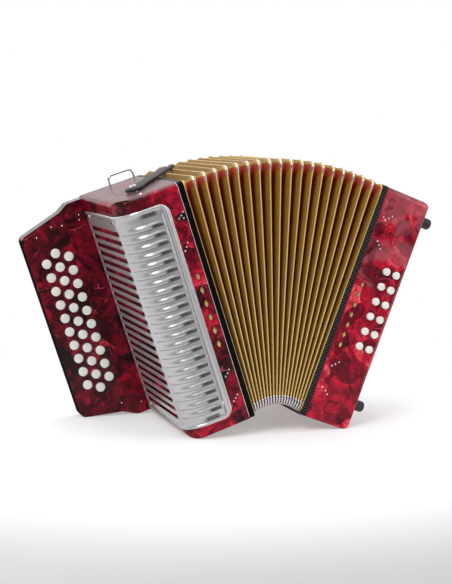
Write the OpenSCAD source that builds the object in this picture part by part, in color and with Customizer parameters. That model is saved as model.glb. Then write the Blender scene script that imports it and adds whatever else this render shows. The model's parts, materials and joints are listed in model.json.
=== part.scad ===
// Diatonic button accordion standing fanned open on the outer bottom edges of its two casings.
// Each half is drawn upright in the pose it has when the bellows are shut, then leaned about the
// fan line, which runs front to back along the bellows' bottom.

/* [Casings] */
// Height of both casings
casing_h = 309; // [300:1:320]
// Depth of both casings, front to back
casing_d = 190; // [184:1:196]
// Distance from the middle of the shut bellows to the treble casing's outer wall
treble_out = 120; // [116:1:126]
// Distance from the middle of the shut bellows to the bass casing's outer end
bass_out = 104.5; // [102.5:0.5:108]
// Thickness of the casing walls
wall = 6; // [5:0.5:7]
// Radius of the treble casing's upright front corner
upright_r = 30; // [24:1:34]
// Radius of the treble casing's outer bottom edge
treble_foot_r = 12; // [10:1:14]
// Radius of the bass casing's outer bottom edge
bass_foot_r = 11; // [9:1:13]
// Radius of the treble casing's outer top edge
treble_top_r = 6; // [4:1:8]
// Radius of the bass casing's outer top edge
bass_top_r = 10; // [8:1:12]
// Radius of both casings' front top edges
crest_r = 7; // [5:1:8]

/* [Bellows] */
// Lean of the treble half from upright
treble_lean = 18.2; // [16:0.1:20]
// Lean of the bass half from upright
bass_lean = 21.1; // [19:0.1:22]
// Half the thickness of the shut bellows
half_gap = 33; // [32:0.5:36]
// Width of each black bellows frame
frame_w = 7.2; // [6:0.1:8]
// Number of folds with a free ridge
fold_count = 18; // [16:1:18]
// Depth of a fold from ridge to valley
fold_depth = 16; // [12:1:18]
// Height of the bellows' bottom above the casings' bottom
bellows_rise = 3; // [2:1:5]
// Length of a metal corner cap's leg
cap_leg = 9; // [7:1:11]

/* [Treble keyboard] */
// Thickness of the fingerboard
board_t = 22; // [18:1:24]
// Reach of the fingerboard from the middle of the shut bellows
board_reach = 212; // [205:1:216]
// Distance between neighbouring buttons of one row
button_pitch = 18.8; // [18:0.1:19.2]
// Distance between neighbouring rows
row_pitch = 15.3; // [15:0.1:16]
// Distance of the middle row from the middle of the shut bellows
middle_row_x = 175.4; // [174:0.2:177]
// Height of the middle row's top button
middle_row_top = 251.2; // [249:0.1:254]
// Radius of a treble button
treble_button_r = 6.1; // [5.8:0.1:6.6]
// How far a treble button stands proud
treble_button_proud = 4; // [3.6:0.1:6]

/* [Bass keyboard] */
// Radius of a bass button
bass_button_r = 4.9; // [4.6:0.1:5.2]
// Distance between bass buttons of one column
bass_pitch = 20.1; // [19:0.1:21]
// Distance between the two bass columns
bass_column_pitch = 14.6; // [14:0.1:15]
// Distance of the inner bass column from the middle of the shut bellows
bass_column_x = 77.6; // [76:0.1:78.4]
// Height of the top bass buttons
bass_top_z = 207.4; // [205:0.2:212]
// How far a bass button stands proud
bass_button_proud = 4; // [3.8:0.1:5]

/* [Grille] */
// Sheet thickness of the grille
grille_t = 1.8; // [1.5:0.1:2]
// Distance of the grille's inner edge from the middle of the shut bellows
grille_in = 60; // [58:1:64]
// Height of the grille's bottom edge
grille_low = 15; // [12:1:18]
// Height of the grille's top edge
grille_high = 291; // [286:1:295]
// Distance of the side face's back edge behind the middle of the casing
grille_back = 66; // [62:1:68]
// Number of slots on each face of the grille
slot_count = 22; // [18:1:24]

/* [Straps and feet] */
// Width of the bellows strap
strap_w = 18; // [14:1:20]
// Radius of the bellows strap's end round its screw
strap_end_r = 11; // [10:0.5:12]
// Length of the bellows strap between its round ends' centres
strap_len = 112; // [100:1:120]
// Angle of the bellows strap from the left to right direction
strap_turn = 49; // [40:1:52]
// Width of the hand strap
hand_strap_w = 50; // [40:1:56]
// Rise of the hand strap over the end plate
hand_strap_rise = 34; // [28:1:36]
// Height of a rubber foot
foot_h = 17; // [12:1:18]
// Radius of a rubber foot
foot_r = 7; // [6:0.5:7.5]

/* [Hidden] */
$fn = 48;
// Clearance round a button in its hole
button_gap = 0.4;
// Clearance between pieces that move past each other
running_gap = 0.4;
// Clearance round a fixed shank
shank_gap = 0.1;
// Small overrun of a cut past the face it opens
cut = 1;

frame_out = half_gap + frame_w;
half_d = casing_d / 2;
shift_y = bass_button_proud / 2;
pivot_z = -min(
    low_point(treble_out, treble_foot_r, treble_lean),
    low_point(bass_out, bass_foot_r, bass_lean)
);

// Fingerboard outline, as outward distance and height of each corner, with its rounding
board_back_y = half_d;
board_face_y = half_d - board_t;
board_corners = [
    [treble_out, 9], [138, 9], [157, 20], [board_reach, 33],
    [board_reach, 283], [153, 299.5], [141, 307], [treble_out, 307]
];
board_radii = [0, 14, 18, 9, 8, 14, 12, 0];

// Rounded top corners that set the model's width
board_tip = corner_centre(board_corners[3], board_corners[4], board_corners[5], board_radii[4]);
foot_inset = 2;
foot_side = half_d - wall - foot_r - foot_inset;
foot_low = 34;
foot_high = 285;
foot_edge_r = 3;
plate_face = bass_out - 1.2;
foot_tip = [plate_face + foot_h - foot_edge_r, foot_high + foot_r - foot_edge_r];
left_reach = far_reach(board_tip, board_radii[4], treble_lean);
right_reach = far_reach(foot_tip, foot_edge_r, bass_lean);
shift_x = (left_reach - right_reach) / 2;

outer_count = 10;
middle_count = 11;
bass_count = 6;
treble_rows = ["outer", "middle", "inner"];
treble_counts = [outer_count, middle_count, outer_count];
bass_columns = ["inner", "outer"];

treble_button_depth = 8;
bass_button_depth = 9;
bore_depth = 12;

plate_t = 4;
plate_gap = 0.2;
scoop_r = 22;
scoop_low = 62;
scoop_high = 214;
scoop_side = 11;
scoop_front = 16;

strap_x = 80;
strap_y = -44;
strap_t = 4.4;
strap_lift = 1.2;
strap_eye_r = 4;
strap_screw_r = 2.2;
strap_head_r = 5;
strap_head_t = 1.6;
strap_screw_depth = 5;
strap_hole_r = strap_screw_r + 0.05;

loop_x = 62;
loop_y = 72;
loop_half_w = 17;
loop_h = 14;
low_loop_h = 9;
wire_r = 1.4;
loop_bend_r = 6;

hand_strap_t = 3;
hand_strap_y = 14;
hand_strap_low = 34;
hand_strap_high = 276;
hand_tab = 14;
hand_tab_lap = 4;

air_y = -62;
air_z = 252;
air_r = 8;
air_proud = 6.5;
air_depth = 9;

screw_head_r = 2.4;
screw_head_t = 1.2;
screw_shank_r = 1.4;
screw_len = 7;
front_screws = [[69, 271], [69, 152], [69, 34]];
side_screws = [[54, 284], [54, 22], [-60, 284], [-60, 22]];

// Plain bands of the grille beside and above its slots, which run half way into the bend
front_margin = 14;
front_end = treble_out - upright_r / 2;
side_start = -half_d + upright_r + 2;
side_end = 46;
band_margin = 13;
window_margin = 20;

function row_x(row) = middle_row_x + (1 - row) * row_pitch;
function row_z(row, i) = middle_row_top - button_pitch * (i + (row == 1 ? 0 : 0.5));
function column_x(column) = bass_column_x + column * bass_column_pitch;
function treble_name(row, i) = str("treble_button_", treble_rows[row], "_", i + 1);
function bass_name(column, i) = str("bass_button_", bass_columns[column], "_", i + 1);

// Height, above the fan line, of the lowest point of a leaned casing's rounded outer edge
function low_point(out, r, lean) = -(out - r) * sin(lean) + (r - bellows_rise) * cos(lean) - r;

// Sideways reach from the fan line of a leaned corner with the given arc centre and radius
function far_reach(centre, r, lean) = centre.x * cos(lean) + (centre.y - bellows_rise) * sin(lean) + r;

function unit(v) = v / norm(v);

// Centre of the arc that rounds corner c between its neighbours p and n
function corner_centre(p, c, n, r) =
    let (u = unit(p - c), v = unit(n - c), half = acos(u * v) / 2)
    c + unit(u + v) * r / sin(half);

// Points of the arc that rounds corner c, or the corner itself where r is 0
function corner_arc(p, c, n, r, steps = 6) =
    r == 0 ? [c] :
    let (
        u = unit(p - c),
        v = unit(n - c),
        reach = r / tan(acos(u * v) / 2),
        m = corner_centre(p, c, n, r),
        a = c + u * reach - m,
        b = c + v * reach - m,
        from = atan2(a.y, a.x),
        turn = atan2(b.y, b.x) - from,
        sweep = turn > 180 ? turn - 360 : (turn < -180 ? turn + 360 : turn)
    )
    [for (k = [0:steps]) m + r * [cos(from + sweep * k / steps), sin(from + sweep * k / steps)]];

function rounded_outline(points, radii) =
    let (n = len(points))
    [for (i = [0:n - 1])
        for (q = corner_arc(points[(i + n - 1) % n], points[i], points[(i + 1) % n], radii[i])) q];

// Rectangle from the origin with a radius for each corner, anticlockwise from the origin
module rounded_rect(size, radii) {
    corners = [[0, 0], [size.x, 0], size, [0, size.y]];
    inward = [[1, 1], [-1, 1], [-1, -1], [1, -1]];
    difference() {
        square(size);
        for (i = [0:3]) {
            if (radii[i] > 0) {
                translate(corners[i]) corner_square(inward[i], radii[i]);
            }
        }
    }
    for (i = [0:3]) {
        if (radii[i] > 0) {
            translate(corners[i] + inward[i] * radii[i]) circle(radii[i]);
        }
    }
}

// Square of side r that runs from the origin in the direction given by two signs
module corner_square(signs, r) {
    translate([signs.x < 0 ? -r : 0, signs.y < 0 ? -r : 0]) square(r);
}

// Places a half, drawn upright with its outer side towards +X, on the right of the fan line
module in_bass() {
    translate([shift_x, shift_y, pivot_z])
        rotate([0, bass_lean, 0])
            translate([0, 0, -bellows_rise])
                children();
}

// Places a half, drawn upright with its outer side towards +X, on the left of the fan line
module in_treble() {
    translate([shift_x, shift_y, pivot_z])
        rotate([0, -treble_lean, 0])
            translate([0, 0, -bellows_rise])
                mirror([1, 0, 0])
                    children();
}

// Cylinder from a point along +Y
module rod_y(at, r, length) {
    translate(at) rotate([-90, 0, 0]) cylinder(r = r, h = length);
}

// Cylinder from a point along +X
module rod_x(at, r, length) {
    translate(at) rotate([0, 90, 0]) cylinder(r = r, h = length);
}

// Solid block with the outline of a casing and all its rounded edges
module casing_block(outer, front_r, back_r, foot_edge, top_edge) {
    low_edge = 3;
    w = outer - frame_out;
    intersection() {
        translate([frame_out, -half_d, 0])
            linear_extrude(casing_h)
                rounded_rect([w, casing_d], [0, front_r, back_r, 0]);
        translate([frame_out, half_d, 0])
            rotate([90, 0, 0])
                linear_extrude(casing_d)
                    rounded_rect([w, casing_h], [0, foot_edge, top_edge, 0]);
        translate([frame_out, -half_d, 0])
            rotate([90, 0, 90])
                linear_extrude(w)
                    rounded_rect([casing_d, casing_h], [low_edge, low_edge, low_edge, crest_r]);
    }
}

module treble_casing() {
    window_low = grille_low + window_margin;
    window_high = grille_high - window_margin;
    window_end = treble_out - upright_r;
    color([0.5, 0.03, 0.1]) in_treble() difference() {
        casing_block(treble_out, upright_r, 0, treble_foot_r, treble_top_r);
        translate([frame_out - cut, -half_d + wall, wall])
            linear_extrude(casing_h - 2 * wall)
                rounded_rect(
                    [treble_out - wall - frame_out + cut, casing_d - 2 * wall],
                    [0, upright_r - wall, 0, 0]
                );
        translate([grille_in + front_margin, -half_d - cut, window_low])
            cube([window_end - grille_in - front_margin, wall + 2 * cut, window_high - window_low]);
        grille_screw_holes();
        translate([strap_x, strap_y, casing_h - wall - cut])
            cylinder(r = strap_screw_r + shank_gap, h = wall + 2 * cut);
        for (side = [-1, 1], z = [-cut, casing_h - wall - cut]) {
            translate([loop_x + side * loop_half_w, loop_y, z])
                cylinder(r = wire_r + shank_gap, h = wall + 2 * cut);
        }
    }
}

module grille_screw_holes() {
    for (s = front_screws) {
        rod_y([s.x, -half_d - grille_t - cut, s.y], screw_shank_r + shank_gap, screw_len + 3 * cut);
    }
    for (s = side_screws) {
        rod_x([treble_out - screw_len, s.x, s.y], screw_shank_r + shank_gap, screw_len + grille_t + cut);
    }
}

// Upright sheet bent round the casing's front corner
module grille_sheet() {
    wrap_w = treble_out + grille_t - grille_in;
    translate([0, 0, grille_low]) linear_extrude(grille_high - grille_low) difference() {
        translate([grille_in, -half_d - grille_t])
            rounded_rect([wrap_w, half_d + grille_t + grille_back], [0, upright_r + grille_t, 0, 0]);
        translate([grille_in - cut, -half_d])
            rounded_rect([treble_out - grille_in + cut, casing_d], [0, upright_r, 0, 0]);
    }
}

module treble_grille() {
    corner_r = 12;
    wrap_w = treble_out + grille_t - grille_in;
    pitch = (grille_high - grille_low - 2 * band_margin) / slot_count;
    slot_h = pitch * 0.45;
    color([0.8, 0.8, 0.8]) in_treble() difference() {
        intersection() {
            grille_sheet();
            translate([grille_in, half_d, grille_low])
                rotate([90, 0, 0])
                    linear_extrude(casing_d + 2 * grille_t)
                        rounded_rect([wrap_w, grille_high - grille_low], [corner_r, 0, 0, corner_r]);
        }
        for (i = [0:slot_count - 1]) {
            z = grille_low + band_margin + pitch * (i + 0.5) - slot_h / 2;
            translate([grille_in + front_margin, -half_d - grille_t - cut, z])
                cube([front_end - grille_in - front_margin, grille_t + cut + upright_r / 4, slot_h]);
            translate([treble_out - cut, side_start, z])
                cube([grille_t + 2 * cut, side_end - side_start, slot_h]);
        }
        grille_screw_holes();
    }
}

module fingerboard() {
    color([0.45, 0.02, 0.08]) in_treble() difference() {
        translate([0, board_back_y, 0])
            rotate([90, 0, 0])
                linear_extrude(board_t)
                    polygon(rounded_outline(board_corners, board_radii));
        for (row = [0:2]) {
            for (i = [0:treble_counts[row] - 1]) {
                rod_y([row_x(row), board_face_y - cut, row_z(row, i)],
                    treble_button_r + button_gap, bore_depth + cut);
            }
        }
    }
}

// Slightly domed button with a rounded rim that points towards -Y, centred on its crown
module button(r, length) {
    rim = 1.2;
    crown = 0.5;
    dome_r = (r * r + crown * crown) / (2 * crown);
    rotate([-90, 0, 0]) rotate_extrude() intersection() {
        union() {
            translate([0, crown + rim]) square([r, length - crown - rim]);
            square([r - rim, crown + rim + 0.2]);
            translate([r - rim, crown + rim]) circle(rim, $fn = 24);
        }
        translate([0, dome_r]) circle(dome_r);
    }
}

module treble_button(row, i) {
    color([0.9, 0.92, 0.88]) in_treble()
        translate([row_x(row), board_face_y - treble_button_proud, row_z(row, i)])
            button(treble_button_r, treble_button_proud + treble_button_depth);
}

// Black ring that joins the bellows to a casing
module frame_ring(corner_r = 5, ring_w = 12) {
    translate([half_gap, 0, 0]) rotate([90, 0, 90]) linear_extrude(frame_w) difference() {
        translate([-half_d, 0]) rounded_rect([casing_d, casing_h], [corner_r, corner_r, corner_r, corner_r]);
        translate([-half_d + ring_w, ring_w])
            square([casing_d - 2 * ring_w, casing_h - 2 * ring_w]);
    }
}

module treble_frame() {
    color([0.06, 0.06, 0.06]) in_treble() frame_ring();
}

module bass_frame() {
    color([0.06, 0.06, 0.06]) in_bass() frame_ring();
}

// Soundboard with two reed blocks that stand out from it into the casing
module reed_block(reach) {
    play = 0.5;
    board_w = 5;
    block_d = 30;
    block_fronts = [-52, 22];
    block_low = 44;
    block_h = 220;
    cell_count = 11;
    cell_h = 14;
    cell_pitch = 19;
    cell_end = 6;
    cell_side = 4;
    floor_t = 2.5;
    base = frame_out + play;
    difference() {
        union() {
            translate([base, -half_d + wall + play, wall + play])
                cube([board_w, casing_d - 2 * (wall + play), casing_h - 2 * (wall + play)]);
            for (y = block_fronts) {
                translate([base, y, block_low]) cube([reach, block_d, block_h]);
            }
        }
        for (y = block_fronts) {
            for (i = [0:cell_count - 1]) {
                translate([base - cut, y + cell_side, block_low + cell_end + i * cell_pitch])
                    cube([reach - floor_t + cut, block_d - 2 * cell_side, cell_h]);
            }
        }
    }
}

module treble_reed_block() {
    color([0.76, 0.6, 0.4]) in_treble() reed_block(46);
}

module bass_reed_block() {
    color([0.76, 0.6, 0.4]) in_bass() reed_block(26);
}

module treble_screws() {
    strap_top = casing_h + strap_lift + strap_t + running_gap;
    color([0.75, 0.75, 0.75]) in_treble() {
        for (s = front_screws) {
            translate([s.x, -half_d - grille_t, s.y]) rotate([-90, 0, 0]) slotted_screw();
        }
        for (s = side_screws) {
            translate([treble_out + grille_t, s.x, s.y]) rotate([0, -90, 0]) slotted_screw();
        }
        translate([strap_x, strap_y, casing_h - strap_screw_depth])
            cylinder(r = strap_screw_r, h = strap_top - casing_h + strap_screw_depth);
        translate([strap_x, strap_y, strap_top]) cylinder(r = strap_head_r, h = strap_head_t);
        translate([strap_x, strap_y, casing_h]) cylinder(r = strap_head_r, h = strap_lift - running_gap);
    }
}

// Screw that points along +Z, with its slotted head below the origin
module slotted_screw() {
    slot_w = 0.8;
    slot_depth = 0.6;
    cylinder(r = screw_shank_r, h = screw_len);
    difference() {
        translate([0, 0, -screw_head_t]) cylinder(r = screw_head_r, h = screw_head_t);
        translate([-screw_head_r, -slot_w / 2, -screw_head_t - cut])
            cube([2 * screw_head_r, slot_w, cut + slot_depth]);
    }
}

// Fixed wire loop that stands on the plane z = 0, with its legs sunk below it
module wire_loop(height) {
    straight = height - loop_bend_r;
    for (side = [-1, 1]) {
        translate([side * loop_half_w, 0, -wall]) cylinder(r = wire_r, h = wall + straight);
        translate([side * (loop_half_w - loop_bend_r), 0, straight])
            rotate([90, 0, side < 0 ? 180 : 0])
                rotate_extrude(angle = 90) translate([loop_bend_r, 0]) circle(wire_r, $fn = 24);
    }
    rod_x([-loop_half_w + loop_bend_r, 0, height], wire_r, 2 * (loop_half_w - loop_bend_r));
}

module strap_loops() {
    color([0.8, 0.8, 0.8]) in_treble() {
        translate([loop_x, loop_y, casing_h]) wire_loop(loop_h);
        translate([loop_x, loop_y, 0]) mirror([0, 0, 1]) wire_loop(low_loop_h);
    }
}

module bellows_strap() {
    color([0.08, 0.07, 0.06]) in_treble()
        translate([strap_x, strap_y, casing_h + strap_lift])
            rotate([0, 0, 180 - strap_turn])
                linear_extrude(strap_t)
                    difference() {
                        union() {
                            circle(strap_end_r);
                            translate([0, -strap_w / 2]) square([strap_len, strap_w]);
                            translate([strap_len, 0]) circle(strap_w / 2);
                        }
                        circle(strap_hole_r);
                        translate([strap_len, 0]) circle(strap_eye_r);
                    }
}

// Bellows point at share s of the way across, y back and h above the fan line
function fan_point(s, y, h) =
    let (x = (half_gap - running_gap) * (2 * s - 1), turn = treble_lean * (1 - s) - bass_lean * s)
    [shift_x + x * cos(turn) - h * sin(turn), shift_y + y, pivot_z + x * sin(turn) + h * cos(turn)];

bellows_h = casing_h - bellows_rise;
bellows_half_d = half_d - 1;
ring_count = 2 * fold_count + 3;

// Eight corners of one ring of the bellows, set in from the ridge line and cut across the corners
function ring_corners(inset) =
    let (y = bellows_half_d - inset, top = bellows_h - inset, low = inset, c = cap_leg)
    [
        [-y + c, low], [y - c, low], [y, low + c], [y, top - c],
        [y - c, top], [-y + c, top], [-y, top - c], [-y, low + c]
    ];

function ring_points(k, extra) =
    [for (q = ring_corners((k % 2) * fold_depth + extra)) fan_point(k / (ring_count - 1), q.x, q.y)];

module bellows() {
    skin = 6;
    outer = [for (k = [0:ring_count - 1]) each ring_points(k, 0)];
    inner = [for (k = [0:ring_count - 1]) each ring_points(k, skin)];
    base = len(outer);
    last = 8 * (ring_count - 1);
    walls = [for (k = [0:ring_count - 2]) for (j = [0:7])
        let (a = 8 * k + j, b = 8 * k + (j + 1) % 8)
        each [
            [a, b, b + 8], [a, b + 8, a + 8],
            [base + a, base + b + 8, base + b], [base + a, base + a + 8, base + b + 8]
        ]];
    ends = [for (j = [0:7])
        let (n = (j + 1) % 8)
        each [
            [j, base + n, n], [j, base + j, base + n],
            [last + j, last + n, base + last + n], [last + j, base + last + n, base + last + j]
        ]];
    color([0.78, 0.64, 0.36]) polyhedron(points = concat(outer, inner), faces = concat(walls, ends));
}

// Triangular metal cap over one corner of a ridge, in the plane of the ridge
module corner_cap(s, side_y, at_top) {
    thick = 2.4;
    gap = 0.5;
    turn = treble_lean * (1 - s) - bass_lean * s;
    edge = at_top ? bellows_h : 0;
    inward = at_top ? -1 : 1;
    leg = cap_leg - gap;
    translate([shift_x, shift_y, pivot_z])
        rotate([0, -turn, 0])
            translate([(half_gap - running_gap) * (2 * s - 1) - thick / 2, side_y * bellows_half_d, edge])
                rotate([90, 0, 90])
                    linear_extrude(thick)
                        polygon([[0, 0], [-side_y * leg, 0], [0, inward * leg]]);
}

module bellows_corners() {
    color([0.8, 0.8, 0.82])
        for (i = [1:fold_count]) {
            for (side_y = [-1, 1]) {
                for (at_top = [false, true]) {
                    corner_cap(i / (fold_count + 1), side_y, at_top);
                }
            }
        }
}

module bass_casing() {
    back_r = 10;
    front_r = 4;
    color([0.55, 0.03, 0.12]) in_bass() difference() {
        casing_block(bass_out, front_r, back_r, bass_foot_r, bass_top_r);
        translate([frame_out - cut, -half_d + wall, wall])
            cube([bass_out - frame_out + 2 * cut, casing_d - 2 * wall, casing_h - 2 * wall]);
        for (column = [0:1]) {
            for (i = [0:bass_count - 1]) {
                rod_y([column_x(column), -half_d - cut, bass_top_z - i * bass_pitch],
                    bass_button_r + button_gap, wall + 2 * cut);
            }
        }
        hand_scoop();
    }
}

// Hollow for the palm along the casing's outer front edge
module hand_scoop() {
    translate([bass_out + scoop_side, -half_d - scoop_front, scoop_low]) {
        cylinder(r = scoop_r, h = scoop_high - scoop_low);
        sphere(scoop_r);
        translate([0, 0, scoop_high - scoop_low]) sphere(scoop_r);
    }
}

module bass_end_plate() {
    inset = wall + plate_gap;
    vent_count = 5;
    vent = [22, 10];
    vent_pitch = 30;
    vent_y = 50;
    vent_low = 90;
    color([0.5, 0.03, 0.1]) in_bass() difference() {
        translate([plate_face - plate_t, -half_d + inset, inset])
            cube([plate_t, casing_d - 2 * inset, casing_h - 2 * inset]);
        for (i = [0:vent_count - 1]) {
            translate([plate_face - plate_t - cut, vent_y, vent_low + i * vent_pitch])
                cube([plate_t + 2 * cut, vent.x, vent.y]);
        }
        rod_x([plate_face - plate_t - cut, air_y, air_z], air_r + button_gap, plate_t + 2 * cut);
    }
}

module bass_button(column, i) {
    color([0.9, 0.92, 0.88]) in_bass()
        translate([column_x(column), -half_d - bass_button_proud, bass_top_z - i * bass_pitch])
            button(bass_button_r, bass_button_proud + bass_button_depth);
}

module air_button() {
    color([0.9, 0.92, 0.88]) in_bass()
        translate([plate_face + air_proud, air_y, air_z])
            rotate([0, 0, 90])
                button(air_r, air_proud + air_depth);
}

module hand_strap() {
    base = plate_face + 0.3;
    low = hand_strap_low - hand_tab;
    mid = (hand_strap_low + hand_strap_high) / 2;
    half = (hand_strap_high - hand_strap_low) / 2;
    r = (half * half + hand_strap_rise * hand_strap_rise) / (2 * hand_strap_rise);
    color([0.08, 0.07, 0.06]) in_bass()
        translate([base, hand_strap_y + hand_strap_w / 2, 0])
            rotate([90, 0, 0])
                linear_extrude(hand_strap_w) {
                    intersection() {
                        translate([hand_strap_rise - r, mid]) difference() {
                            circle(r);
                            circle(r - hand_strap_t);
                        }
                        translate([0, low]) square([hand_strap_rise + cut, 2 * (half + hand_tab)]);
                    }
                    for (z = [low, hand_strap_high - hand_tab_lap]) {
                        translate([0, z]) square([hand_strap_t, hand_tab + hand_tab_lap]);
                    }
                }
}

// Rubber foot that stands on the end plate along +X
module foot(y, z) {
    translate([plate_face, y, z]) rotate([0, 90, 0]) rotate_extrude() {
        square([foot_r, foot_h - foot_edge_r]);
        square([foot_r - foot_edge_r, foot_h]);
        translate([foot_r - foot_edge_r, foot_h - foot_edge_r]) circle(foot_edge_r, $fn = 24);
    }
}

module feet() {
    color([0.05, 0.05, 0.05]) in_bass() {
        for (y = [-foot_side, foot_side]) {
            foot(y, foot_low);
            foot(y, foot_high);
        }
    }
}

treble_casing();
treble_grille();
fingerboard();
treble_frame();
treble_reed_block();
treble_screws();
strap_loops();
bellows_strap();
bellows();
bellows_corners();
bass_frame();
bass_casing();
bass_end_plate();
bass_reed_block();
hand_strap();
feet();
air_button();
for (row = [0:2]) {
    for (i = [0:treble_counts[row] - 1]) {
        treble_button(row, i);
    }
}
for (column = [0:1]) {
    for (i = [0:bass_count - 1]) {
        bass_button(column, i);
    }
}
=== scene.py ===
import json
import math

import bmesh
import bpy
from mathutils import Matrix, Vector


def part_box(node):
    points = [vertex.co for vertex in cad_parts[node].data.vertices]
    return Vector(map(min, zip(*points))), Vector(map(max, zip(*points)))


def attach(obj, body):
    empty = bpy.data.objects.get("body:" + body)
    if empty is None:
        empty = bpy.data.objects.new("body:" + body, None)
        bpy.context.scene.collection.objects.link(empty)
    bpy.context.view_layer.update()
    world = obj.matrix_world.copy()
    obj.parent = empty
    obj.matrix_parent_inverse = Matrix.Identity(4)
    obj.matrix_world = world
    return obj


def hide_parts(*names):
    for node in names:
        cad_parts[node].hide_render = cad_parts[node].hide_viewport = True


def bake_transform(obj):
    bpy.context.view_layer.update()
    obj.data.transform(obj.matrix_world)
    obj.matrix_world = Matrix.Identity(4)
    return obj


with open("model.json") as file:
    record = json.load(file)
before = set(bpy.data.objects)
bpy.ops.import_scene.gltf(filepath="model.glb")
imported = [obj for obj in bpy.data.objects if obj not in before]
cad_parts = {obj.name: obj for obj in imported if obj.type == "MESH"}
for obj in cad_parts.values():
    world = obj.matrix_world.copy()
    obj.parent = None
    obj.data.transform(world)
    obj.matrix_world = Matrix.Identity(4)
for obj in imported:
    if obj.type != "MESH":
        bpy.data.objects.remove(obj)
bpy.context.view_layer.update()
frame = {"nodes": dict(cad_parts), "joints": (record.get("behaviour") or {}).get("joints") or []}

# ---------------------------------------------------------------- frame of the two halves
MM = 0.001
joints = {j["name"]: j for j in frame["joints"]}
fan = joints["bellows_fan"]
swivel = joints["strap_swivel"]
treble_lean = math.atan2(-swivel["axis"][0], swivel["axis"][2])
bass_lean = -math.radians(min(fan["range_deg"])) - treble_lean
frame_low, frame_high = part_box("treble_frame")
MIDDLE_Y = (frame_low[1] + frame_high[1]) / 2
PIVOT = Vector((fan["pos_m"][0], MIDDLE_Y, fan["pos_m"][2]))

# Sizes in millimetres, in the upright frame of a half: x outward, y back, z up from the casing's bottom
RISE = 3.0
CASING_H = 309.0
HALF_D = 95.0
TREBLE_OUT = 120.0
BASS_OUT = 104.5
HALF_GAP = 32.6
FRAME_OUT = 40.2
BOARD_FACE = 73.0
FOLDS = 18


def half_place(turn):
    """Matrix from a half's upright millimetres to the row frame."""
    lift = Matrix.Translation((0, 0, -RISE * MM))
    return Matrix.Translation(PIVOT) @ Matrix.Rotation(turn, 4, "Y") @ lift @ Matrix.Scale(MM, 4)


TREBLE = half_place(-treble_lean) @ Matrix.Scale(-1, 4, (1, 0, 0))
BASS = half_place(bass_lean)


# ---------------------------------------------------------------- mesh helpers
def new_piece(name, verts, faces, place=None, materials=(), sharp=32.0, face_materials=None):
    """Object from points and faces; with a place matrix the points are given in its millimetres."""
    if place is not None:
        flip = place.determinant() < 0
        verts = [place @ Vector(v) for v in verts]
        if flip:
            faces = [tuple(reversed(f)) for f in faces]
    mesh = bpy.data.meshes.new(name)
    mesh.from_pydata([tuple(v) for v in verts], [], faces)
    mesh.validate()
    obj = bpy.data.objects.new(name, mesh)
    bpy.context.scene.collection.objects.link(obj)
    for m in materials:
        mesh.materials.append(m)
    if face_materials is not None:
        for poly, index in zip(mesh.polygons, face_materials):
            poly.material_index = index
    mesh.shade_smooth()
    if sharp:
        mesh.set_sharp_from_angle(angle=math.radians(sharp))
    return obj


def add_layer(obj, name, values):
    """Stores one number for each point, for a material to read."""
    obj.data.attributes.new(name, "FLOAT", "POINT").data.foreach_set("value", values)


def outward(obj):
    """Makes a closed mesh's faces point outwards."""
    bm = bmesh.new()
    bm.from_mesh(obj.data)
    bmesh.ops.recalc_face_normals(bm, faces=bm.faces)
    bm.to_mesh(obj.data)
    bm.free()


def add_bevel(obj, width, segments):
    mod = obj.modifiers.new("soft_edges", "BEVEL")
    mod.width = width * MM
    mod.segments = segments
    mod.limit_method = "ANGLE"
    mod.angle_limit = math.radians(35)


def add_sheet(obj, thickness, offset):
    mod = obj.modifiers.new("sheet", "SOLIDIFY")
    mod.thickness = thickness * MM
    mod.offset = offset


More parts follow.
